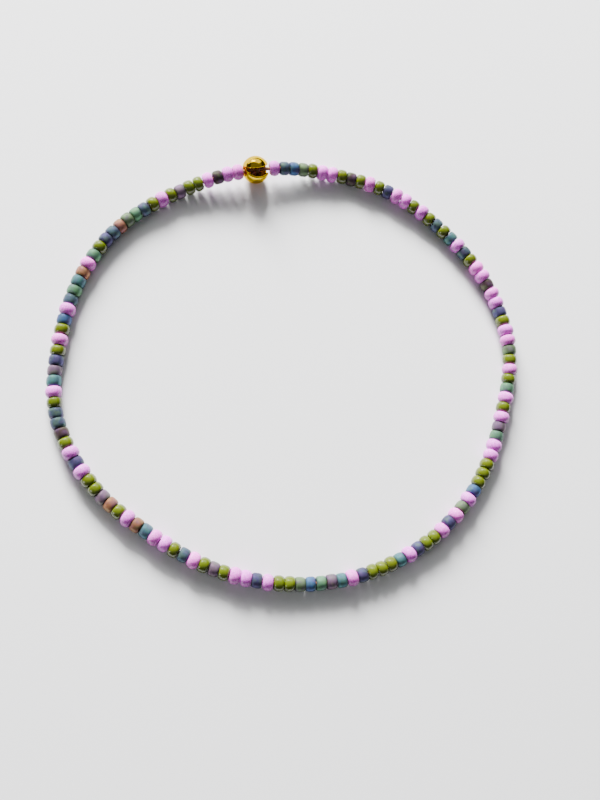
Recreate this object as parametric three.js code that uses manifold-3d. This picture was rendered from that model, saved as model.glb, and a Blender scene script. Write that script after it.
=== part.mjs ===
// Beaded bracelet: 131 glass seed beads on a ring of elastic cord, its knot hidden in a gold crimp cover.
// Millimetres, +Z up. The bracelet lies flat on z = 0, with the middle of its loop at the origin.
import * as THREE from "three";
import { mergeVertices } from "three/addons/utils/BufferGeometryUtils.js";
import Module from "manifold-3d";

const wasm = await Module();
wasm.setup();

// Seed beads: length along the cord, how much longer a lilac one is, and the outer diameter of each kind
const BEAD_LENGTH = 1.45;
const LILAC_EXTRA_LENGTH = 0.1;
const LILAC_DIAMETER = 2.3;
const OLIVE_DIAMETER = 2.15;
const IRIS_DIAMETER = 2.05;

// Share of a bead's length that is its straight belly, and of its glass that stands at its two ends
const BELLY_SHARE = 0.5;
const END_SHARE = 0.4;

// Elastic cord, and the clearance that a bead's bore and the cover's end holes keep all round it
const CORD_DIAMETER = 0.5;
const BORE_CLEARANCE = 0.2;
const COVER_HOLE_CLEARANCE = 0.55;

// Knot of the cord, an egg along the cord's own direction
const KNOT_LENGTH = 1.8;
const KNOT_DIAMETER = 1.3;

// Crimp cover: a hollow gold ball folded shut over the knot
const COVER_DIAMETER = 4;
const COVER_WALL = 0.3;

// Half-moon gap that the cover's lips leave: it starts short of the ball's middle and runs out through the
// first end hole, and it leans from the top of the ball towards the inside of the loop
const SEAM_WIDTH = 1.3;
const SEAM_LENGTH = 3.9;
const SEAM_START = -1.5;
const SEAM_LEAN = THREE.MathUtils.degToRad(38);

// Bare cord between the cover and its two neighbours
const GAP_FIRST = 0.2;
const GAP_LAST = 0.06;

// Length over which the string climbs from the table to the middle of the cover
const RISE_LENGTH = 11;

// Facets of the round pieces
const BEAD_SIDES = 12;
const RINGS_PER_BEAD = 3;
const BEADS_PER_BORE_RING = 2;
const CORD_SIDES = 8;
const CORD_STEPS = 72;
const KNOT_SIDES = 12;
const KNOT_BANDS = 8;
const COVER_SIDES = 24;
const COVER_BANDS = 10;
const SEAM_SEGMENTS = 8;
const ROUTE_DIVISIONS = 4000;

// Kinds of the beads in the order of the string, clockwise seen from above, from the cover's +X side:
// L lilac, O olive, I iris
const CHART = `
  LIIIOLLOIO LOILLOLOIO ILIOLLILLI OLLIOLOILO LIILLOOOIL ILILOOILIO OOILIIIIIO
  OLILLOIOLI OLLIILOIIO OLILOIIIOL IIIOLOILII IILIOIIIII IOLOIOOLILL
`.replace(/\s/g, "");

// Outline of the loop, clockwise from the cover, as shares of half its width
const OUTLINE = [
  [-0.17, 0.9],
  [0.14, 0.92],
  [0.45, 0.85],
  [0.71, 0.67],
  [0.91, 0.42],
  [1.0, 0.12],
  [0.95, -0.19],
  [0.83, -0.49],
  [0.62, -0.73],
  [0.34, -0.88],
  [0.03, -0.93],
  [-0.29, -0.88],
  [-0.57, -0.74],
  [-0.82, -0.54],
  [-0.98, -0.26],
  [-0.99, 0.05],
  [-0.91, 0.37],
  [-0.74, 0.62],
  [-0.47, 0.8],
];

const KINDS = {
  L: {
    length: BEAD_LENGTH + LILAC_EXTRA_LENGTH,
    radius: LILAC_DIAMETER / 2,
    color: new THREE.Color(0xc77fd8),
  },
  O: {
    length: BEAD_LENGTH,
    radius: OLIVE_DIAMETER / 2,
    color: new THREE.Color(0x69781e),
  },
  I: {
    length: BEAD_LENGTH,
    radius: IRIS_DIAMETER / 2,
    color: new THREE.Color(0x4a6a85),
  },
};

const boreRadius = CORD_DIAMETER / 2 + BORE_CLEARANCE;
const coverRadius = COVER_DIAMETER / 2;
const coverHoleRadius = CORD_DIAMETER / 2 + COVER_HOLE_CLEARANCE;
const coverReach = Math.sqrt(coverRadius ** 2 - coverHoleRadius ** 2);
const beads = [...CHART].map((letter) => KINDS[letter]);
const stringLength = beads.reduce((sum, bead) => sum + bead.length, 0);
const loopLength = 2 * coverReach + GAP_FIRST + stringLength + GAP_LAST;
const axisHeight = Math.max(...beads.map((bead) => bead.radius));
const coverHeight = Math.max(coverRadius, axisHeight);

// The centre line of the loop, which is loopLength long: its beads lie on the table,
// and it climbs to the middle of the cover on both sides of it.
class Route {
  constructor() {
    const corners = OUTLINE.map(([x, y]) => new THREE.Vector3(x, y, 0));
    const shape = new THREE.CatmullRomCurve3(corners, true, "catmullrom", 0.5);
    shape.arcLengthDivisions = ROUTE_DIVISIONS;
    this.scale = loopLength / shape.getLength();
    this.middle = new THREE.Box3()
      .setFromPoints(shape.getPoints(ROUTE_DIVISIONS))
      .getCenter(new THREE.Vector3());
    this.shape = shape;
  }

  // Height of the centre line at a length along it from the middle of the cover
  heightAt(length) {
    const fromCover = Math.min(length, loopLength - length) - coverReach;
    const down = THREE.MathUtils.smoothstep(fromCover, 0, RISE_LENGTH);
    return THREE.MathUtils.lerp(coverHeight, axisHeight, down);
  }

  pointAt(length) {
    return this.shape
      .getPointAt(length / loopLength)
      .sub(this.middle)
      .multiplyScalar(this.scale)
      .setZ(this.heightAt(length));
  }

  // Point with the directions along the cord, to its right across the table, and up
  frameAt(length) {
    const step = loopLength / ROUTE_DIVISIONS;
    const before = this.heightAt(Math.max(length - step, 0));
    const after = this.heightAt(Math.min(length + step, loopLength));
    const along = this.shape.getTangentAt(length / loopLength);
    along.setZ((after - before) / (2 * step)).normalize();
    const side = new THREE.Vector3()
      .crossVectors(along, new THREE.Vector3(0, 0, 1))
      .normalize();
    const up = new THREE.Vector3().crossVectors(side, along);
    return { point: this.pointAt(length), along, side, up };
  }
}

const route = new Route();

// The stretch of the loop that the cord's own tube takes, both ends of it inside the knot
class CordPath extends THREE.Curve {
  getPoint(share, target = new THREE.Vector3()) {
    const start = KNOT_LENGTH / 4;
    return target.copy(
      route.pointAt(start + share * (loopLength - 2 * start)),
    );
  }
}

// Radius of the corners of a regular polygon whose flats lie at the given radius
function cornerRadius(flatRadius, sides) {
  return flatRadius / Math.cos(Math.PI / sides);
}

// A closed geometry as a solid, with its shared corners merged
function solidOf(geometry) {
  const bare = geometry.clone();
  bare.deleteAttribute("normal");
  bare.deleteAttribute("uv");
  const merged = mergeVertices(bare);
  return new wasm.Manifold(
    new wasm.Mesh({
      numProp: 3,
      vertProperties: merged.attributes.position.array,
      triVerts: new Uint32Array(merged.index.array),
    }),
  );
}

function geometryOf(solid) {
  const { vertProperties, triVerts } = solid.getMesh();
  const geometry = new THREE.BufferGeometry()
    .setAttribute("position", new THREE.BufferAttribute(vertProperties, 3))
    .setIndex(new THREE.BufferAttribute(triVerts, 1));
  geometry.computeVertexNormals();
  return geometry;
}

// Rings of the string as [radius of its flats, length along the loop, bead]: each bead has a straight belly
// between two shoulders, and two neighbours meet at the end face of the smaller one.
function stringRings() {
  const endRadius = (bead) => boreRadius + END_SHARE * (bead.radius - boreRadius);
  const shoulderShare = (1 - BELLY_SHARE) / 2;
  let start = coverReach + GAP_FIRST;
  const rings = [[endRadius(beads[0]), start, beads[0]]];
  beads.forEach((bead, i) => {
    const end = start + bead.length;
    const next = beads[i + 1] ?? bead;
    rings.push([bead.radius, start + shoulderShare * bead.length, bead]);
    rings.push([bead.radius, end - shoulderShare * bead.length, bead]);
    rings.push([Math.min(endRadius(bead), endRadius(next)), end, bead]);
    start = end;
  });
  return rings;
}

// Rings of the bore, back along the string, at some of the joints between beads and at both ends
function boreRings(outer) {
  const step = RINGS_PER_BEAD * BEADS_PER_BORE_RING;
  const joints = outer.slice(0, -1).filter((ring, i) => i % step === 0);
  joints.push(outer.at(-1));
  return joints
    .reverse()
    .map(([, length, bead]) => [boreRadius, length, bead]);
}

// The string turned as one straight piece, with its bore, and then bent along the route
function beadStrandMesh() {
  const outer = stringRings();
  const rings = [...outer, ...boreRings(outer)];
  rings.push(rings[0]);
  const profile = rings.map(
    ([radius, length]) =>
      new THREE.Vector2(cornerRadius(radius, BEAD_SIDES), length),
  );
  const geometry = new THREE.LatheGeometry(
    profile,
    BEAD_SIDES,
    Math.PI / BEAD_SIDES,
  );
  const position = geometry.attributes.position;
  const colors = new Float32Array(position.count * 3);
  const frames = rings.map(([, length]) => route.frameAt(length));
  for (let i = 0; i < position.count; i++) {
    const { point, side, up } = frames[i % rings.length];
    const bent = point
      .clone()
      .addScaledVector(side, position.getX(i))
      .addScaledVector(up, position.getZ(i));
    position.setXYZ(i, bent.x, bent.y, bent.z);
    rings[i % rings.length][2].color.toArray(colors, 3 * i);
  }
  geometry.setAttribute("color", new THREE.BufferAttribute(colors, 3));
  geometry.computeVertexNormals();
  const glass = new THREE.MeshStandardMaterial({
    vertexColors: true,
    roughness: 0.4,
    metalness: 0,
  });
  const mesh = new THREE.Mesh(geometry, glass);
  mesh.name = "bead_strand";
  return mesh;
}

// Hollow ball, turned about its own Y axis, open at both ends and along its seam, which faces its own +Z
function crimpCoverMesh() {
  const innerRadius = coverRadius - COVER_WALL;
  const arc = (radius, bands) => {
    const opening = Math.asin(coverHoleRadius / radius);
    return Array.from({ length: bands + 1 }, (_, i) => {
      const angle = opening + (i / bands) * (Math.PI - 2 * opening);
      return new THREE.Vector2(
        radius * Math.sin(angle),
        -radius * Math.cos(angle),
      );
    });
  };
  const outer = arc(coverRadius, COVER_BANDS);
  const inner = arc(innerRadius, COVER_BANDS).reverse();
  const ball = new THREE.LatheGeometry(
    [...outer, ...inner, outer[0]],
    COVER_SIDES,
    Math.PI / COVER_SIDES,
  );

  const halfMoon = new THREE.Shape().absellipse(
    -SEAM_WIDTH / 2,
    SEAM_START + SEAM_LENGTH / 2,
    SEAM_WIDTH,
    SEAM_LENGTH / 2,
    -Math.PI / 2,
    Math.PI / 2,
  );
  const seam = new THREE.ExtrudeGeometry(halfMoon, {
    depth: COVER_DIAMETER,
    bevelEnabled: false,
    curveSegments: SEAM_SEGMENTS,
  });

  const { point, along, side, up } = route.frameAt(0);
  const seamward = up
    .clone()
    .multiplyScalar(Math.cos(SEAM_LEAN))
    .addScaledVector(side, Math.sin(SEAM_LEAN));
  const across = new THREE.Vector3().crossVectors(along, seamward);
  const gold = new THREE.MeshStandardMaterial({
    color: 0xe0a520,
    roughness: 0.15,
    metalness: 1,
  });
  const mesh = new THREE.Mesh(
    geometryOf(solidOf(ball).subtract(solidOf(seam))),
    gold,
  );
  mesh.position.copy(point);
  mesh.quaternion.setFromRotationMatrix(
    new THREE.Matrix4().makeBasis(across, along, seamward),
  );
  mesh.name = "crimp_cover";
  return mesh;
}

// Ring of cord, round under the beads, with its knot in the middle of the cover
function elasticCordMesh() {
  const radius = CORD_DIAMETER / 2;
  const corners = Array.from({ length: CORD_SIDES }, (_, i) => {
    const angle = (2 * Math.PI * i) / CORD_SIDES;
    return new THREE.Vector2(
      radius * Math.cos(angle),
      radius * Math.sin(angle),
    );
  });
  const tube = new THREE.ExtrudeGeometry(new THREE.Shape(corners), {
    steps: CORD_STEPS,
    extrudePath: new CordPath(),
    bevelEnabled: false,
  });
  const { point, along, side, up } = route.frameAt(0);
  const knot = new THREE.SphereGeometry(1, KNOT_SIDES, KNOT_BANDS)
    .scale(KNOT_DIAMETER / 2, KNOT_LENGTH / 2, KNOT_DIAMETER / 2)
    .applyMatrix4(
      new THREE.Matrix4().makeBasis(side, along, up).setPosition(point),
    );
  const elastic = new THREE.MeshStandardMaterial({
    color: 0x6a5a3c,
    roughness: 0.6,
    metalness: 0,
  });
  const mesh = new THREE.Mesh(
    geometryOf(solidOf(tube).add(solidOf(knot))),
    elastic,
  );
  mesh.name = "elastic_cord";
  return mesh;
}

const bracelet = new THREE.Group();
bracelet.name = "beaded_bracelet";
bracelet.add(beadStrandMesh(), crimpCoverMesh(), elasticCordMesh());
const middle = new THREE.Box3()
  .setFromObject(bracelet, true)
  .getCenter(new THREE.Vector3());
bracelet.position.set(-middle.x, -middle.y, 0);

export default bracelet;
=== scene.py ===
import math

import bpy
import numpy as np
from bpy.props import FloatProperty
from bpy.props import FloatVectorProperty
from bpy.props import IntProperty
from bpy.props import PointerProperty
from mathutils import Matrix
from mathutils import Vector


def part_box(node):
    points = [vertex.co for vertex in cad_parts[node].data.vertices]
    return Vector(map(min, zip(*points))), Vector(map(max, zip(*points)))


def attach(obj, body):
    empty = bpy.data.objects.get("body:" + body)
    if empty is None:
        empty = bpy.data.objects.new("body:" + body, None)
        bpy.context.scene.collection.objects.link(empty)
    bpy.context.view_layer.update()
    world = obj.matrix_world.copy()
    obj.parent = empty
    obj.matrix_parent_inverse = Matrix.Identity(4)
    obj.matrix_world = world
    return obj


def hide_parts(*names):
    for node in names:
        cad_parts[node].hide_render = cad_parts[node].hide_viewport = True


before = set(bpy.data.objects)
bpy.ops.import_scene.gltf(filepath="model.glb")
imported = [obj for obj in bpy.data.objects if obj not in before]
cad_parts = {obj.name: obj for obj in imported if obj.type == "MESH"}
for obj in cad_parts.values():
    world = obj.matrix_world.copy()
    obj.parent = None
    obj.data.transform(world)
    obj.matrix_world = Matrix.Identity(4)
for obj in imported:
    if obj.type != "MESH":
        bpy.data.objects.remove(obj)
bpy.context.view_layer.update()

bl_info = {
    "name": "Beaded Bracelet",
    "version": (1, 0, 0),
    "blender": (4, 5, 0),
    "location": "3D Viewport > Sidebar > Bracelet",
    "description": "Seed beads, gold crimp cover and knotted elastic cord of a thin bracelet",
    "category": "Add Mesh",
}

MM = 0.001

# Beads in the order of the string, clockwise seen from above, from the cover's +X side. L lilac, O olive;
# the others are iris beads by their leading tone: S slate, B blue, G grey green, P purple brown, N indigo,
# T teal, E sea green, M mauve, C copper.
CHART = """
    LSBGOLLOPO LONLLOLOSO TLSOLLPLLN OLLGOLOELO LMELLOOOBL
    GLNLOONLTO OONLTMEBGO OLNLLOMOLS OLLTCLOCMO OLNLOPSSOL
    TMNOLOBLSE TCLEONSCGE SOLOMOOLPLL
"""
STRING = np.array(list("".join(CHART.split())))

# Two tones that each iris bead turns between, as the light runs over its coating
IRIS_TONES = {
    "S": ("#3f5b6f", "#232c43"),
    "B": ("#335f93", "#223660"),
    "G": ("#657d5b", "#48573c"),
    "P": ("#44272a", "#291925"),
    "N": ("#3e3c6d", "#272449"),
    "T": ("#407976", "#274b5f"),
    "E": ("#52895f", "#3f6455"),
    "M": ("#785b6f", "#493b58"),
    "C": ("#a2683f", "#764b42"),
}

# Outline of the loop, clockwise from the cover, as shares of half its width
OUTLINE = np.array(
    [
        [-0.17, 0.9],
        [0.14, 0.92],
        [0.45, 0.85],
        [0.71, 0.67],
        [0.91, 0.42],
        [1.0, 0.12],
        [0.95, -0.19],
        [0.83, -0.49],
        [0.62, -0.73],
        [0.34, -0.88],
        [0.03, -0.93],
        [-0.29, -0.88],
        [-0.57, -0.74],
        [-0.82, -0.54],
        [-0.98, -0.26],
        [-0.99, 0.05],
        [-0.91, 0.37],
        [-0.74, 0.62],
        [-0.47, 0.8],
    ]
)

# Points of the loop's curve from one corner of the outline to the next
SAMPLES_PER_SPAN = 200

# Squareness and shoulder of the section of each kind of bead, as bead_shells takes them
LILAC_FORM = (2.1, 1.6)
OLIVE_FORM = (2.3, 1.5)
IRIS_FORM = (2.7, 1.25)

# How much the beads differ, up or down: share of the length, share of the radius, share by which one side
# is longer, tip out of the cord's line, and drift off it
LENGTH_VARIATION = 0.03
RADIUS_VARIATION = 0.02
SKEW_VARIATION = 0.035
TIP_VARIATION = math.radians(3.5)
DRIFT_VARIATION = 0.03 * MM

# Lilac and olive beads: largest differences in brightness and in warmth from one bead to the next
BRIGHTNESS_VARIATION = 0.12
WARMTH_VARIATION = 0.05

# Iris beads: mean brightness and its largest difference, how far the tones turn from end to end of a bead,
# and how much shade is painted on a bead's rounded ends, where the gaps between beads fall into shade
IRIS_BRIGHTNESS = 1.15
IRIS_VARIATION = 0.15
TONE_DRIFT = 1.2
PAINTED_END_SHADE = 0.5

# Rings and sides of the round meshes, and the cover's grid: rows of each half-round edge, rows from one end
# hole to the other, and columns from one lip to the other
BEAD_RINGS = 20
BEAD_SIDES = 32
CORD_RINGS = 400
KNOT_RINGS = 160
CORD_SIDES = 12
EDGE_ROWS = 7
COVER_ROWS = 140
COVER_COLUMNS = 96

# Gap that the cover's lips keep where they touch, and the largest sine that places a lip
TOUCHING_GAP = 0.03 * MM
LARGEST_SINE = 0.95

# Box of the trefoil that knot_line draws, before it is scaled, and how far its middle lies below y = 0
TREFOIL_BOX = (5.5, 5.1, 2.0)
TREFOIL_SHIFT = 0.45

# Linear colours that the finishes mix into their main ones
# Pale lilac in which the lilac speckle paints sparkle, the small glints of the satin grain
SPARKLE_LILAC = (1.0, 0.6, 1.0, 1.0)
DEEP_LILAC = (0.14, 0.02, 0.17, 1.0)
DEEP_OLIVE = (0.03, 0.045, 0.002, 1.0)
GREEN_GOLD = (0.12, 0.22, 0.07, 1.0)
VIOLET = (0.11, 0.05, 0.16, 1.0)
FROST_WHITE = (0.6, 0.64, 0.62, 1.0)
WARM_GOLD = (0.5, 0.24, 0.01, 1.0)
PALE_GOLD = (1.0, 0.86, 0.42, 1.0)
DARK_FIBRE = (0.02, 0.012, 0.01, 1.0)
BOARD_GRAIN = (0.6, 0.6, 0.62, 1.0)

# Camera: almost overhead, from beyond the loop's lower left, with +Y upwards in the picture. The target is
# the point of the table in the middle of the picture.
CAMERA_AZIMUTH = math.radians(-126)
CAMERA_ELEVATION = math.radians(75)
CAMERA_DISTANCE = 128.5 * MM
CAMERA_TARGET = Vector((1.39 * MM, -4.61 * MM, 0.0))
CAMERA_LENS = 40.5
SENSOR_WIDTH = 36.0
CLIP_START = 0.01
CLIP_END = 10.0

# Round floor, in metres
FLOOR_RADIUS = 0.7
FLOOR_SIDES = 128

# Backdrop: its colour, the strength that lights the bracelet, and the strength that the camera sees
SKY_COLOUR = (0.86, 0.9, 0.96, 1.0)
FILL_STRENGTH = 0.05
BACKDROP_STRENGTH = 2.2

# Lights, which all face the origin: name, place, width, height, watts, and whether reflections show it
LIGHT_COLOUR = (1.0, 0.98, 0.95)
LIGHTS = (
    ("lamp", (-0.16, 0.66, 0.27), 0.34, 0.2, 48.0, False),
    ("window", (-0.2, 0.85, 0.42), 1.8, 0.75, 10.0, True),
    ("window_pane", (-0.3, 0.8, 0.5), 0.36, 0.2, 3.6, True),
    ("ceiling", (0.0, -0.1, 0.9), 2.0, 1.6, 2.0, True),
    ("low_left", (-0.3, -0.16, 0.12), 0.06, 0.06, 0.2, True),
)


def linear(code):
    """Linear colour of a web colour code: each channel below 0.04045 is divided by 12.92, and any other is
    ((c + 0.055) / 1.055) to the power 2.4."""
    channels = np.array([int(code[i : i + 2], 16) for i in (1, 3, 5)]) / 255
    curved = ((channels + 0.055) / 1.055) ** 2.4
    return tuple(np.where(channels < 0.04045, channels / 12.92, curved).tolist())


def length_property(name, description, default):
    """A size in metres that the sidebar shows as a length."""
    return FloatProperty(
        name=name,
        description=description,
        default=default,
        min=0.0,
        precision=5,
        subtype="DISTANCE",
        unit="LENGTH",
    )


def colour_property(name, description, code):
    """A colour that the sidebar shows as a swatch."""
    return FloatVectorProperty(
        name=name,
        description=description,
        default=linear(code),
        min=0.0,
        max=1.0,
        subtype="COLOR",
    )


class BraceletSizes(bpy.types.PropertyGroup):
    """Sizes of the beads, the cord and the cover."""

    bead_length: length_property("Bead length", "Length of an olive or iris bead", 1.45 * MM)
    lilac_length: length_property("Lilac length", "Length of a lilac bead", 1.55 * MM)
    lilac_diameter: length_property("Lilac diameter", "Lilac bead, outside", 2.3 * MM)
    olive_diameter: length_property("Olive diameter", "Olive bead, outside", 2.15 * MM)
    iris_diameter: length_property("Iris diameter", "Iris bead, outside", 2.05 * MM)
    bead_hole: length_property("Bead hole", "Bore of every bead", 0.9 * MM)
    cord_diameter: length_property("Cord diameter", "Elastic cord", 0.5 * MM)
    knot_length: length_property("Knot length", "Knot in the cord, inside the cover", 1.8 * MM)
    knot_diameter: length_property("Knot diameter", "Knot in the cord, across", 1.3 * MM)
    cover_diameter: length_property("Cover diameter", "Crimp cover, outside", 4.0 * MM)
    cover_wall: length_property("Cover wall", "Wall of the crimp cover", 0.3 * MM)
    cover_hole: length_property("Cover hole", "End holes of the crimp cover", 1.6 * MM)
    gap_first: length_property("First gap", "Bare cord from the cover to the first bead", 0.2 * MM)
    gap_last: length_property("Last gap", "Bare cord from the last bead to the cover", 0.06 * MM)
    rise_length: length_property("Rise", "Length over which the string climbs to the cover", 11 * MM)
    seam_width: length_property("Seam width", "Widest part of the cover's gap", 1.3 * MM)
    seam_length: length_property("Seam length", "Length of the cover's half-moon gap", 3.9 * MM)
    seam_start: length_property("Seam start", "From the gap's blind end to the ball's middle", 1.5 * MM)
    seam_lean: FloatProperty(
        name="Seam lean",
        description="Lean of the cover's gap from the top towards the inside of the loop",
        default=math.radians(38),
        subtype="ANGLE",
        unit="ROTATION",
    )
    seed: IntProperty(
        name="Seed",
        description="Picks the small differences between one bead and the next",
        default=11,
        min=0,
    )


class BraceletColours(bpy.types.PropertyGroup):
    """Colours of the finishes."""

    lilac: colour_property("Lilac", "Satin lilac glass", "#cf50c9")
    olive: colour_property("Olive", "Glossy olive glass", "#4e5a07")
    gold: colour_property("Gold", "Plating of the crimp cover", "#cdac08")
    cord: colour_property("Cord", "Elastic cord", "#a07450")
    floor: colour_property("Floor", "Surface that the bracelet lies on", "#e0e2e6")


class Wire:
    """One output of a node tree. + and * on it add the Math node that works them out."""

    def __init__(self, finish, socket):
        self.finish = finish
        self.socket = socket

    def calculate(self, operation, other):
        return self.finish.node(
            "ShaderNodeMath", {"operation": operation}, {0: self, 1: other}
        )

    def __add__(self, other):
        return self.calculate("ADD", other)

    def __mul__(self, other):
        return self.calculate("MULTIPLY", other)

    __radd__ = __add__
    __rmul__ = __mul__


class Finish:
    """A material made of nodes."""

    def __init__(self, name):
        self.material = bpy.data.materials.new(name)
        self.material.use_nodes = True
        self.tree = self.material.node_tree
        self.tree.nodes.clear()

    def node(self, kind, settings=None, inputs=None, output=0):
        """Adds a node, applies its settings, fills its sockets with values or links, and returns one of its
        outputs."""
        made = self.tree.nodes.new(kind)
        for key, value in (settings or {}).items():
            if key == "stops":
                self.set_stops(made.color_ramp, value)
            else:
                setattr(made, key, value)
        for key, value in (inputs or {}).items():
            if isinstance(value, Wire):
                self.tree.links.new(value.socket, made.inputs[key])
            else:
                made.inputs[key].default_value = value
        return Wire(self, made.outputs[output]) if made.outputs else None

    def set_stops(self, ramp, stops):
        """Gives a ramp its stops, each a position and a grey level."""
        while len(ramp.elements) < len(stops):
            ramp.elements.new(0.5)
        for element, (position, level) in zip(ramp.elements, stops):
            element.position = position
            element.color = (level, level, level, 1.0)

    def place(self):
        """Object coordinates, in metres."""
        return self.node("ShaderNodeTexCoord", output="Object")

    def noise(self, size, detail=2.0, roughness=0.5):
        """Noise whose lumps are about size metres across."""
        return self.node(
            "ShaderNodeTexNoise",
            inputs={
                "Vector": self.place(),
                "Scale": 1.0 / size,
                "Detail": detail,
                "Roughness": roughness,
            },
        )

    def ramp(self, value, *stops):
        """Grey level for each value, from stops that are a position and a level."""
        return self.node("ShaderNodeValToRGB", {"stops": stops}, {"Fac": value})

    def attribute(self, name):
        """Colour that store_colours left on the mesh under this name."""
        return self.node(
            "ShaderNodeAttribute",
            {"attribute_type": "GEOMETRY", "attribute_name": name},
            output="Color",
        )

    def mix_colours(self, factor, first, second):
        """The first colour at factor 0, and the second at factor 1."""
        return self.node(
            "ShaderNodeMix",
            {"data_type": "RGBA", "clamp_factor": True},
            {0: factor, 6: first, 7: second},
            output=2,
        )

    def bump(self, height, strength, distance):
        """Normals tilted as if the height, times the distance in metres, stood out of the surface."""
        return self.node(
            "ShaderNodeBump",
            inputs={"Height": height, "Strength": strength, "Distance": distance},
            output="Normal",
        )

    def surface(self, **sockets):
        """Ends the tree in one Principled BSDF with these sockets, and returns the material."""
        shader = self.node(
            "ShaderNodeBsdfPrincipled",
            inputs={key.replace("_", " "): value for key, value in sockets.items()},
        )
        self.node("ShaderNodeOutputMaterial", inputs={"Surface": shader})
        return self.material


def lilac_finish():
    """Satin opaque glass: a fine pale speckle of painted sparkle over a body that is a little deeper in
    places.
    """
    finish = Finish("satin_lilac_glass")
    speckle = finish.noise(0.16 * MM, detail=3.0, roughness=0.75)
    speckle = finish.ramp(speckle, (0.47, 0.0), (0.6, 1.0))
    cloud = finish.ramp(finish.noise(0.45 * MM), (0.35, 0.0), (0.65, 1.0))
    tone = finish.attribute("tone")
    # Painted sparkle: where the speckle is high, small glints of the satin grain are painted pale into the
    # colour; the same speckle also roughens the glass
    pale = finish.mix_colours(0.55, tone, SPARKLE_LILAC)
    deep = finish.mix_colours(0.55, tone, DEEP_LILAC)
    body = finish.mix_colours(cloud * 0.45, tone, deep)
    return finish.surface(
        Base_Color=finish.mix_colours(speckle * 0.4, body, pale),
        Roughness=0.27 + 0.12 * speckle,
        Specular_IOR_Level=0.7,
        Normal=finish.bump(finish.noise(0.07 * MM), strength=0.35, distance=0.012 * MM),
    )


def olive_finish():
    """Glossy opaque glass, a little cloudy in depth, under a clear fire-polished skin."""
    finish = Finish("glossy_olive_glass")
    cloud = finish.noise(0.5 * MM)
    ripple = finish.noise(0.3 * MM, detail=1.0)
    tone = finish.attribute("tone")
    deep = finish.mix_colours(0.6, tone, DEEP_OLIVE)
    return finish.surface(
        Base_Color=finish.mix_colours(cloud * 0.8, tone, deep),
        Roughness=0.2 + 0.1 * cloud,
        Specular_IOR_Level=0.45,
        Coat_Weight=0.5,
        Coat_Roughness=0.05,
        Normal=finish.bump(ripple, strength=0.2, distance=0.01 * MM),
    )


def iris_finish():
    """Matt glass under a thin metal coating. Two tones turn over each bead, patches of green gold and of
    violet lie over them where the coating is thicker, and the frosting scatters the light."""
    finish = Finish("matt_iris_glass")
    frost = finish.noise(0.05 * MM, detail=3.0, roughness=0.65)
    patches = finish.noise(0.9 * MM, roughness=0.45)
    mottle = finish.ramp(finish.noise(0.5 * MM, detail=3.0), (0.3, 0.0), (0.72, 1.0))
    green_gold = finish.ramp(patches, (0.5, 0.0), (0.68, 1.0))
    violet = finish.ramp(patches, (0.32, 1.0), (0.5, 0.0))
    tone = finish.attribute("tone")
    body = finish.mix_colours(mottle * 0.7, tone, finish.attribute("second_tone"))
    body = finish.mix_colours(green_gold * 0.3, body, GREEN_GOLD)
    body = finish.mix_colours(violet * 0.4, body, VIOLET)
    return finish.surface(
        Base_Color=finish.mix_colours(frost * 0.08, body, FROST_WHITE),
        Metallic=0.62,
        Roughness=0.38 + 0.12 * frost,
        Specular_IOR_Level=0.25,
        Normal=finish.bump(frost, strength=0.4, distance=0.01 * MM),
    )


def gold_finish(colour):
    """Polished gold plate, with hair scratches and a slightly duller bloom in places."""
    finish = Finish("polished_gold_plate")
    bloom = finish.noise(0.8 * MM, detail=3.0)
    hairs = finish.noise(0.04 * MM, roughness=0.7)
    return finish.surface(
        Base_Color=finish.mix_colours(bloom * 0.2, (*colour, 1.0), WARM_GOLD),
        Metallic=1.0,
        Roughness=0.08 + 0.1 * bloom,
        Specular_Tint=PALE_GOLD,
        Normal=finish.bump(hairs, strength=0.08, distance=0.01 * MM),
    )


def cord_finish(colour):
    """Elastic cord: smooth, slightly waxy, with fine lengthwise fibres."""
    finish = Finish("elastic_cord")
    fibre = finish.noise(0.06 * MM)
    return finish.surface(
        Base_Color=finish.mix_colours(fibre * 0.5, (*colour, 1.0), DARK_FIBRE),
        Roughness=0.4 + 0.2 * fibre,
        Normal=finish.bump(fibre, strength=0.3, distance=0.01 * MM),
    )


def floor_finish(colour):
    """Pale matt board."""
    finish = Finish("pale_board")
    grain = finish.noise(0.4 * MM, detail=3.0)
    return finish.surface(
        Base_Color=finish.mix_colours(grain * 0.04, (*colour, 1.0), BOARD_GRAIN),
        Roughness=0.7,
    )


def sizes():
    """The sizes that the sidebar shows."""
    return bpy.context.scene.bracelet_sizes


def colours():
    """The colours that the sidebar shows."""
    return bpy.context.scene.bracelet_colours


def smoothstep(share):
    """3 t^2 - 2 t^3, with t held between 0 and 1."""
    t = np.clip(share, 0.0, 1.0)
    return t * t * (3.0 - 2.0 * t)


def unit(rows):
    """The rows, each divided by its own length."""
    return rows / np.linalg.norm(rows, axis=-1, keepdims=True)


def bead_lengths():
    """Length of each bead of the string along the cord."""
    return np.where(STRING == "L", sizes().lilac_length, sizes().bead_length)


def cover_reach():
    """From the middle of the cover to the edge of its end hole, along the cord: sqrt(R^2 - hole^2)."""
    outer = sizes().cover_diameter / 2
    hole = sizes().cover_hole / 2
    return math.sqrt(outer * outer - hole * hole)


def loop_length():
    """Length of the closed centre line: the cover, the beads and the bare cord beside the cover."""
    gaps = sizes().gap_first + sizes().gap_last
    return 2 * cover_reach() + gaps + bead_lengths().sum()


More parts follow.
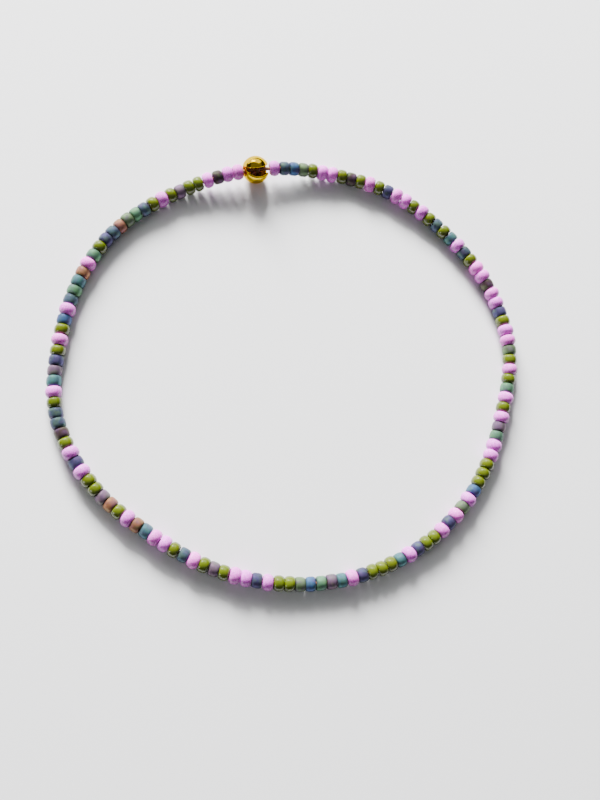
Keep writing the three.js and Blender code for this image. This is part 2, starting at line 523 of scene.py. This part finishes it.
class Loop:
    """Centre line of the bracelet, by its length from the middle of the cover."""

    def __init__(self):
        """Closed curve through OUTLINE. From corner p to the next corner q it is the cubic from p to q whose
        slope at each corner is half the line between that corner's two neighbours. It is scaled to the length
        of the string, and its box is centred on the cord's."""
        ahead = np.roll(OUTLINE, -1, axis=0)
        slope = (ahead - np.roll(OUTLINE, 1, axis=0)) / 2
        slope_ahead = np.roll(slope, -1, axis=0)
        t = (np.arange(SAMPLES_PER_SPAN) / SAMPLES_PER_SPAN)[None, :, None]
        square = 3 * (ahead - OUTLINE) - 2 * slope - slope_ahead
        cube = 2 * (OUTLINE - ahead) + slope + slope_ahead
        curve = (
            OUTLINE[:, None]
            + slope[:, None] * t
            + square[:, None] * t**2
            + cube[:, None] * t**3
        ).reshape(-1, 2)
        curve = np.vstack([curve, curve[:1]])
        steps = np.linalg.norm(np.diff(curve, axis=0), axis=1)
        reached = np.concatenate([[0.0], np.cumsum(steps)])
        self.total = loop_length()
        scale = self.total / reached[-1]
        low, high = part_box("elastic_cord")
        middle = (np.array(low) + np.array(high))[:2] / 2
        self.curve = (curve - (curve.min(0) + curve.max(0)) / 2) * scale + middle
        self.reached = reached * scale
        self.table_height = sizes().lilac_diameter / 2
        self.cover_height = sizes().cover_diameter / 2

    def lowered(self, length):
        """How far the string has come down to the table: 0 at the cover, 1 where it lies flat."""
        from_cover = np.minimum(length % self.total, -length % self.total) - cover_reach()
        return smoothstep(from_cover / sizes().rise_length)

    def point(self, length):
        """Points of the centre line at these lengths, as rows of x, y, z."""
        around = length % self.total
        x = np.interp(around, self.reached, self.curve[:, 0])
        y = np.interp(around, self.reached, self.curve[:, 1])
        climb = self.cover_height - self.table_height
        return np.stack([x, y, self.cover_height - climb * self.lowered(length)], -1)

    def directions(self, length):
        """Unit rows along the cord, across it to the inside of the loop, and up: along is the slope between
        two near points, across is along x Z, and up is across x along."""
        near = 0.05 * MM
        along = unit(self.point(length + near) - self.point(length - near))
        across = unit(np.cross(along, [0.0, 0.0, 1.0]))
        return along, across, np.cross(across, along)


def ring_grid_faces(copies, rows, columns):
    """Quads of a grid that closes on itself both ways, for each of the copies in turn."""
    row = np.arange(rows)[:, None]
    column = np.arange(columns)[None, :]
    here = row * columns + column
    beside = row * columns + (column + 1) % columns
    above = (row + 1) % rows * columns + column
    across = (row + 1) % rows * columns + (column + 1) % columns
    one = np.stack([here, beside, across, above], -1).reshape(-1, 4)
    return (one[None] + (np.arange(copies) * rows * columns)[:, None, None]).reshape(-1, 4)


def make_piece(name, points, faces, material, slot, *nodes):
    """Puts the points and quads into a smooth mesh object, which rides on the bracelet and replaces the
    nodes."""
    mesh = bpy.data.meshes.new(name)
    mesh.from_pydata(points.reshape(-1, 3).tolist(), [], faces.tolist())
    mesh.polygons.foreach_set("use_smooth", np.ones(len(faces), dtype=bool))
    mesh.materials.append(material)
    piece = bpy.data.objects.new(name, mesh)
    bpy.context.scene.collection.objects.link(piece)
    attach(piece, "root")
    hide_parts(*nodes)
    return piece


def store_colours(piece, name, rows):
    """Stores one linear colour for each vertex of the piece."""
    opaque = np.ones((len(rows), 4))
    opaque[:, :3] = rows
    layer = piece.data.color_attributes.new(name, "FLOAT_COLOR", "POINT")
    layer.data.foreach_set("color", opaque.ravel())


def rounded(wave, squareness):
    """sign(w) |w|^(2 / n), which turns the sine or cosine of a circle into that of a rounded box."""
    return np.sign(wave) * np.abs(wave) ** (2 / squareness)


def for_each_bead(rows):
    """One row for each bead, shaped to go with the bead's rings and sides."""
    return rows[:, None, None, :]


def bead_shells(loop, letters, diameter, form):
    """All the beads of one kind. Each is a ring of glass round its hole, whose section is the rounded box
    |a / A|^n + |b / B|^n = 1: a runs along the hole, b across the glass, and n is the squareness. The share
    of the glass from the hole outwards is raised to the power shoulder, which brings the ends in to the hole.
    The form is the squareness and the shoulder. Each bead differs a little in length and width, is tipped and
    turned, and lies on the table where it can. Returns the points as (bead, ring, side, xyz), with the angles
    of the rings and the sides."""
    squareness, shoulder = form
    chosen = np.isin(STRING, letters)
    count = int(chosen.sum())
    random = np.random.default_rng(sizes().seed + len(letters))
    lengths = bead_lengths()
    starts = cover_reach() + sizes().gap_first + np.cumsum(lengths) - lengths
    middles = (starts + lengths / 2)[chosen]
    hole = sizes().bead_hole / 2

    # A bead is shorter than its place by up to twice the variation, and never longer
    half_length = lengths[chosen] / 2
    half_length = half_length * (1 + LENGTH_VARIATION * (random.uniform(-1, 1, count) - 1))
    radius = diameter / 2 * (1 + RADIUS_VARIATION * random.uniform(-1, 1, count))
    glass = radius - hole
    section = 2 * np.pi * (np.arange(BEAD_RINGS) + 0.5) / BEAD_RINGS
    turn = 2 * np.pi * np.arange(BEAD_SIDES) / BEAD_SIDES
    a = half_length[:, None] * rounded(np.cos(section), squareness)
    outward = ((1 + rounded(np.sin(section), squareness)) / 2) ** shoulder
    from_axis = hole + glass[:, None] * outward
    # Only the first number of each pair skews a bead
    skew = SKEW_VARIATION * random.uniform(-1, 1, (count, 2))
    tip = np.tan(TIP_VARIATION * random.uniform(-1, 1, (count, 2)))
    angle = turn + random.uniform(0, 2 * np.pi, (count, 1))
    x = from_axis[:, :, None] * np.cos(angle)[:, None]
    y = from_axis[:, :, None] * np.sin(angle)[:, None]
    along_bead = a[:, :, None] * (1 + skew[:, :1, None] * x / diameter * 2) + (
        tip[:, :1, None] * x + tip[:, 1:, None] * y
    )

    along, across, up = loop.directions(middles)
    settle = loop.lowered(middles) * (loop.table_height - radius)
    drift = DRIFT_VARIATION * random.uniform(-1, 1, count)
    centre = loop.point(middles) + across * drift[:, None]
    centre[:, 2] -= settle
    points = (
        for_each_bead(centre)
        + along_bead[..., None] * for_each_bead(along)
        + x[..., None] * for_each_bead(across)
        + y[..., None] * for_each_bead(up)
    )
    return points, section, angle


def plain_tones(colour, shape, random):
    """The same colour on a whole bead, a little lighter or darker from bead to bead."""
    count, rings, sides = shape
    brightness = 1 + BRIGHTNESS_VARIATION * random.uniform(-1, 1, (count, 1))
    warmth = WARMTH_VARIATION * random.uniform(-1, 1, (count, 1)) * np.array([1.0, 0.0, -1.0])
    rows = np.array(colour) * brightness * (1 + warmth)
    return np.repeat(rows, rings * sides, axis=0)


def make_plain_beads(name, letter, diameter, form, colour, material):
    """One kind of bead that has a single colour."""
    points, *_ = bead_shells(Loop(), [letter], diameter, form)
    faces = ring_grid_faces(*points.shape[:3])
    piece = make_piece(name, points, faces, material, "beads", "bead_strand")
    random = np.random.default_rng(sizes().seed)
    store_colours(piece, "tone", plain_tones(colour, points.shape[:3], random))


class BRACELET_OT_lilac_beads(bpy.types.Operator):
    """Makes the satin lilac beads, the longest and roundest"""

    bl_idname = "bracelet.lilac_beads"
    bl_label = "Lilac Beads"

    def execute(self, context):
        make_plain_beads(
            "beads_lilac",
            "L",
            sizes().lilac_diameter,
            LILAC_FORM,
            colours().lilac,
            lilac_finish(),
        )
        return {"FINISHED"}


class BRACELET_OT_olive_beads(bpy.types.Operator):
    """Makes the glossy olive beads"""

    bl_idname = "bracelet.olive_beads"
    bl_label = "Olive Beads"

    def execute(self, context):
        make_plain_beads(
            "beads_olive",
            "O",
            sizes().olive_diameter,
            OLIVE_FORM,
            colours().olive,
            olive_finish(),
        )
        return {"FINISHED"}


class BRACELET_OT_iris_beads(bpy.types.Operator):
    """Makes the matt iris beads, cut straighter, each with two tones of its own"""

    bl_idname = "bracelet.iris_beads"
    bl_label = "Iris Beads"

    def execute(self, context):
        letters = list(IRIS_TONES)
        points, section, angle = bead_shells(
            Loop(), letters, sizes().iris_diameter, IRIS_FORM
        )
        faces = ring_grid_faces(*points.shape[:3])
        piece = make_piece(
            "beads_iris", points, faces, iris_finish(), "beads", "bead_strand"
        )
        random = np.random.default_rng(sizes().seed)
        own = STRING[np.isin(STRING, letters)]
        first = np.array([linear(IRIS_TONES[letter][0]) for letter in own])
        second = np.array([linear(IRIS_TONES[letter][1]) for letter in own])
        variation = IRIS_VARIATION * random.uniform(-1, 1, (len(own), 1))
        phase = random.uniform(0, 2 * np.pi, (len(own), 1, 1))
        # Tone turns with the angle round the hole and drifts from end to end of the bead
        drift = TONE_DRIFT * np.cos(section)[None, :, None]
        share = (0.5 + 0.5 * np.sin(angle[:, None, :] + phase + drift))[..., None]
        # Painted shade: a bead is darker where it rounds off to its ends, in the gaps between beads where
        # shade falls
        painted_end_shade = (1 - PAINTED_END_SHADE * np.abs(np.cos(section)) ** 3)[None, :, None, None]
        first = for_each_bead(first * (IRIS_BRIGHTNESS + variation)) * painted_end_shade
        second = for_each_bead(second * (IRIS_BRIGHTNESS + variation)) * painted_end_shade
        tone = first * (1 - share) + second * share
        other = first * share + second * (1 - share)
        store_colours(piece, "tone", tone.reshape(-1, 3))
        store_colours(piece, "second_tone", other.reshape(-1, 3))
        return {"FINISHED"}


def rounded_rows(count, half):
    """Distances from an edge, and the share of the full half thickness there, for a half-round edge: at
    angle w the distance is half (1 - cos w) and the share is sin w."""
    w = np.linspace(0, np.pi / 2, count)
    return half * (1 - np.cos(w)), np.sin(w)


def cover_shell():
    """Gold ball folded from one sheet. Its mid surface is a sphere without its two end caps, from the lower
    lip of the seam round the ball to the upper lip. The outer and inner faces lie half a wall off it, and
    close in a half-round edge at the lips and the end holes. The upper lip is straight, the plane across =
    -w / 2. The lower lip leaves it by w sqrt(1 - ((y - middle) / half)^2), and where that is 0 the lips meet.
    Returns points in the cover's own directions (across, along, seamward), and the quads."""
    outer = sizes().cover_diameter / 2
    half_wall = sizes().cover_wall / 2
    mid = outer - half_wall
    edge, edge_share = rounded_rows(EDGE_ROWS, half_wall)

    opening = math.asin(sizes().cover_hole / 2 / mid)
    rim = edge[:-1] / mid
    inside = np.linspace(edge[-1] / mid, np.pi - 2 * opening - edge[-1] / mid, COVER_ROWS)
    polar = opening + np.concatenate([rim, inside, np.pi - 2 * opening - rim[::-1]])
    rim_share = np.concatenate(
        [edge_share[:-1], np.ones(len(inside)), edge_share[:-1][::-1]]
    )

    y = -mid * np.cos(polar)
    from_axis = mid * np.sin(polar)
    width = sizes().seam_width
    half_moon = sizes().seam_length / 2
    middle = half_moon - sizes().seam_start
    open_share = np.sqrt(np.clip(1 - ((y - middle) / half_moon) ** 2, 0, None))
    # Behind the seam's blind end the touching lips keep the turn that they have there
    touching = y < -sizes().seam_start
    lip_axis = np.where(
        touching, np.sqrt(mid**2 - sizes().seam_start ** 2), from_axis
    )
    upper = -np.arcsin(np.clip(width / 2 / lip_axis, 0, LARGEST_SINE))
    opened = np.clip(width * (open_share - 0.5) / lip_axis, -LARGEST_SINE, LARGEST_SINE)
    lower = np.maximum(np.arcsin(opened), upper + TOUCHING_GAP / from_axis)

    between = np.linspace(0, 1, COVER_COLUMNS)
    lip = edge[:-1][:, None]
    near_lower = lower + lip / from_axis
    near_upper = 2 * np.pi + upper - lip[::-1] / from_axis
    first = lower + edge[-1] / from_axis
    last = 2 * np.pi + upper - edge[-1] / from_axis
    body = first + between[:, None] * (last - first)
    turn = np.vstack([near_lower, body, near_upper])
    lip_share = np.concatenate(
        [edge_share[:-1], np.ones(len(between)), edge_share[:-1][::-1]]
    )[:, None]

    # Outer face first, then the inner one
    thickness = half_wall * lip_share * rim_share
    points = np.stack(
        [
            np.stack(
                [
                    scale * from_axis * np.sin(turn),
                    scale * y,
                    scale * from_axis * np.cos(turn),
                ],
                -1,
            )
            for scale in ((mid + thickness) / mid, (mid - thickness) / mid)
        ]
    )
    # Along the border the two faces share their points
    rows, columns = turn.shape
    index = np.arange(2 * rows * columns).reshape(2, rows, columns)
    border = np.zeros((rows, columns), dtype=bool)
    border[[0, -1]] = True
    border[:, [0, -1]] = True
    index[1][border] = index[0][border]
    quads = [
        np.stack([i[:-1, :-1], i[:-1, 1:], i[1:, 1:], i[1:, :-1]], -1).reshape(-1, 4)
        for i in (index[0][:, ::-1], index[1])
    ]
    used, faces = np.unique(np.vstack(quads), return_inverse=True)
    return points.reshape(-1, 3)[used], faces.reshape(-1, 4)


class BRACELET_OT_crimp_cover(bpy.types.Operator):
    """Makes the gold crimp cover, folded shut over the knot with its seam ajar"""

    bl_idname = "bracelet.crimp_cover"
    bl_label = "Crimp Cover"

    def execute(self, context):
        loop = Loop()
        along, across, up = (rows[0] for rows in loop.directions(np.zeros(1)))
        lean = sizes().seam_lean
        seamward = math.cos(lean) * up + math.sin(lean) * across
        sideways = np.cross(along, seamward)
        local, faces = cover_shell()
        points = loop.point(np.zeros(1)) + local @ np.stack([sideways, along, seamward])
        make_piece(
            "gold_crimp_cover",
            points,
            faces,
            gold_finish(colours().gold),
            "cover",
            "crimp_cover",
        )
        return {"FINISHED"}


def tube(points, across, up, radius):
    """Closed tube round a closed line: at each point, a circle that turns from across through down, so that
    its faces point outwards."""
    turn = 2 * np.pi * np.arange(CORD_SIDES) / CORD_SIDES
    circle = np.cos(turn)[None, :, None] * across[:, None]
    circle = circle - np.sin(turn)[None, :, None] * up[:, None]
    return points[:, None] + radius * circle


def knot_line(length, thickness):
    """Trefoil (sin t + 2 sin 2t, cos t - 2 cos 2t, -sin 3t), scaled to this length and thickness. Returns its
    points, with across and up from its first and second slopes."""
    t = 2 * np.pi * np.arange(KNOT_RINGS) / KNOT_RINGS
    scale = np.array([length, thickness, thickness]) / TREFOIL_BOX
    line = np.stack(
        [
            np.sin(t) + 2 * np.sin(2 * t),
            np.cos(t) - 2 * np.cos(2 * t) + TREFOIL_SHIFT,
            -np.sin(3 * t),
        ],
        -1,
    )
    slope = np.stack(
        [
            np.cos(t) + 4 * np.cos(2 * t),
            4 * np.sin(2 * t) - np.sin(t),
            -3 * np.cos(3 * t),
        ],
        -1,
    )
    bend = np.stack(
        [
            -np.sin(t) - 8 * np.sin(2 * t),
            8 * np.cos(2 * t) - np.cos(t),
            9 * np.sin(3 * t),
        ],
        -1,
    )
    along = unit(slope * scale)
    across = unit(np.cross(along, bend * scale))
    return line * scale, across, np.cross(across, along)


class BRACELET_OT_elastic_cord(bpy.types.Operator):
    """Makes the ring of elastic cord and the knot that the cover hides"""

    bl_idname = "bracelet.elastic_cord"
    bl_label = "Elastic Cord"

    def execute(self, context):
        loop = Loop()
        radius = sizes().cord_diameter / 2
        lengths = loop.total * np.arange(CORD_RINGS) / CORD_RINGS
        along, across, up = loop.directions(lengths)
        ring = tube(loop.point(lengths), across, up, radius)

        inner_length = sizes().knot_length - 2 * radius
        inner_thickness = sizes().knot_diameter - 2 * radius
        local = tube(*knot_line(inner_length, inner_thickness), radius)
        axes = np.stack([along[0], -across[0], up[0]])
        knot = loop.point(np.zeros(1)) + local.reshape(-1, 3) @ axes

        points = np.vstack([ring.reshape(-1, 3), knot])
        ring_faces = ring_grid_faces(1, *ring.shape[:2])
        knot_faces = ring_grid_faces(1, *local.shape[:2]) + ring.shape[0] * ring.shape[1]
        make_piece(
            "knotted_cord",
            points,
            np.vstack([ring_faces, knot_faces]),
            cord_finish(colours().cord),
            "cord",
            "elastic_cord",
        )
        return {"FINISHED"}


def aim(thing, place, target):
    """Puts a light or camera at a place, looking at the target, with its top as near +Y as it can be: back is
    the line from target to place, right is Y x back, and top is back x right."""
    back = (place - target).normalized()
    right = Vector((0.0, 1.0, 0.0)).cross(back).normalized()
    turned = Matrix((right, back.cross(right), back)).transposed()
    thing.matrix_world = Matrix.Translation(place) @ turned.to_4x4()


def add_area_light(name, place, width, height, power, in_reflections):
    """A rectangle of light that faces the origin."""
    light = bpy.data.lights.new(name, "AREA")
    light.shape = "RECTANGLE"
    light.size = width
    light.size_y = height
    light.energy = power
    light.color = LIGHT_COLOUR
    thing = bpy.data.objects.new(name, light)
    thing.visible_glossy = in_reflections
    bpy.context.scene.collection.objects.link(thing)
    aim(thing, Vector(place), Vector((0.0, 0.0, 0.0)))


def make_floor():
    """Round pale board that the bracelet lies on."""
    turn = 2 * np.pi * np.arange(FLOOR_SIDES) / FLOOR_SIDES
    edge = FLOOR_RADIUS * np.stack([np.cos(turn), np.sin(turn), 0 * turn], -1)
    mesh = bpy.data.meshes.new("floor")
    mesh.from_pydata(edge.tolist(), [], [list(range(FLOOR_SIDES))])
    mesh.materials.append(floor_finish(colours().floor))
    floor = bpy.data.objects.new("floor", mesh)
    bpy.context.scene.collection.objects.link(floor)


def make_backdrop():
    """Backdrop that is pale to look at and gives only a little light."""
    world = bpy.data.worlds.new("studio")
    world.use_nodes = True
    nodes = world.node_tree.nodes
    background = nodes["Background"]
    background.inputs["Color"].default_value = SKY_COLOUR
    looked_at = nodes.new("ShaderNodeLightPath").outputs["Is Camera Ray"]
    strength = nodes.new("ShaderNodeMapRange")
    strength.inputs["To Min"].default_value = FILL_STRENGTH
    strength.inputs["To Max"].default_value = BACKDROP_STRENGTH
    links = world.node_tree.links
    links.new(looked_at, strength.inputs["Value"])
    links.new(strength.outputs["Result"], background.inputs["Strength"])
    bpy.context.scene.world = world


def make_camera():
    """Camera that looks at its target from CAMERA_AZIMUTH round the loop and CAMERA_ELEVATION above it."""
    lens = bpy.data.cameras.new("camera")
    lens.sensor_width = SENSOR_WIDTH
    lens.lens = CAMERA_LENS
    lens.clip_start = CLIP_START
    lens.clip_end = CLIP_END
    camera = bpy.data.objects.new("camera", lens)
    bpy.context.scene.collection.objects.link(camera)
    level = math.cos(CAMERA_ELEVATION)
    back = Vector(
        (
            level * math.cos(CAMERA_AZIMUTH),
            level * math.sin(CAMERA_AZIMUTH),
            math.sin(CAMERA_ELEVATION),
        )
    )
    aim(camera, CAMERA_TARGET + back * CAMERA_DISTANCE, CAMERA_TARGET)
    bpy.context.scene.camera = camera


class BRACELET_OT_stage(bpy.types.Operator):
    """Makes the pale floor, the soft light, the backdrop and the camera"""

    bl_idname = "bracelet.stage"
    bl_label = "Stage"

    def execute(self, context):
        make_floor()
        for light in LIGHTS:
            add_area_light(*light)
        make_backdrop()
        make_camera()
        return {"FINISHED"}


class BRACELET_PT_panel(bpy.types.Panel):
    """Lists the steps, the sizes and the colours"""

    bl_idname = "BRACELET_PT_panel"
    bl_label = "Beaded Bracelet"
    bl_space_type = "VIEW_3D"
    bl_region_type = "UI"
    bl_category = "Bracelet"

    def draw(self, context):
        for operator in OPERATORS:
            self.layout.operator(operator.bl_idname)
        for group in (context.scene.bracelet_sizes, context.scene.bracelet_colours):
            column = self.layout.column()
            for name in group.bl_rna.properties.keys():
                if name not in ("rna_type", "name"):
                    column.prop(group, name)


OPERATORS = (
    BRACELET_OT_elastic_cord,
    BRACELET_OT_lilac_beads,
    BRACELET_OT_olive_beads,
    BRACELET_OT_iris_beads,
    BRACELET_OT_crimp_cover,
    BRACELET_OT_stage,
)
CLASSES = (BraceletSizes, BraceletColours, *OPERATORS, BRACELET_PT_panel)


def register():
    for each in CLASSES:
        bpy.utils.register_class(each)
    bpy.types.Scene.bracelet_sizes = PointerProperty(type=BraceletSizes)
    bpy.types.Scene.bracelet_colours = PointerProperty(type=BraceletColours)


def unregister():
    del bpy.types.Scene.bracelet_colours
    del bpy.types.Scene.bracelet_sizes
    for each in reversed(CLASSES):
        bpy.utils.unregister_class(each)


def main():
    register()
    bpy.ops.bracelet.elastic_cord()
    bpy.ops.bracelet.lilac_beads()
    bpy.ops.bracelet.olive_beads()
    bpy.ops.bracelet.iris_beads()
    bpy.ops.bracelet.crimp_cover()
    bpy.ops.bracelet.stage()


if __name__ == "__main__":
    main()
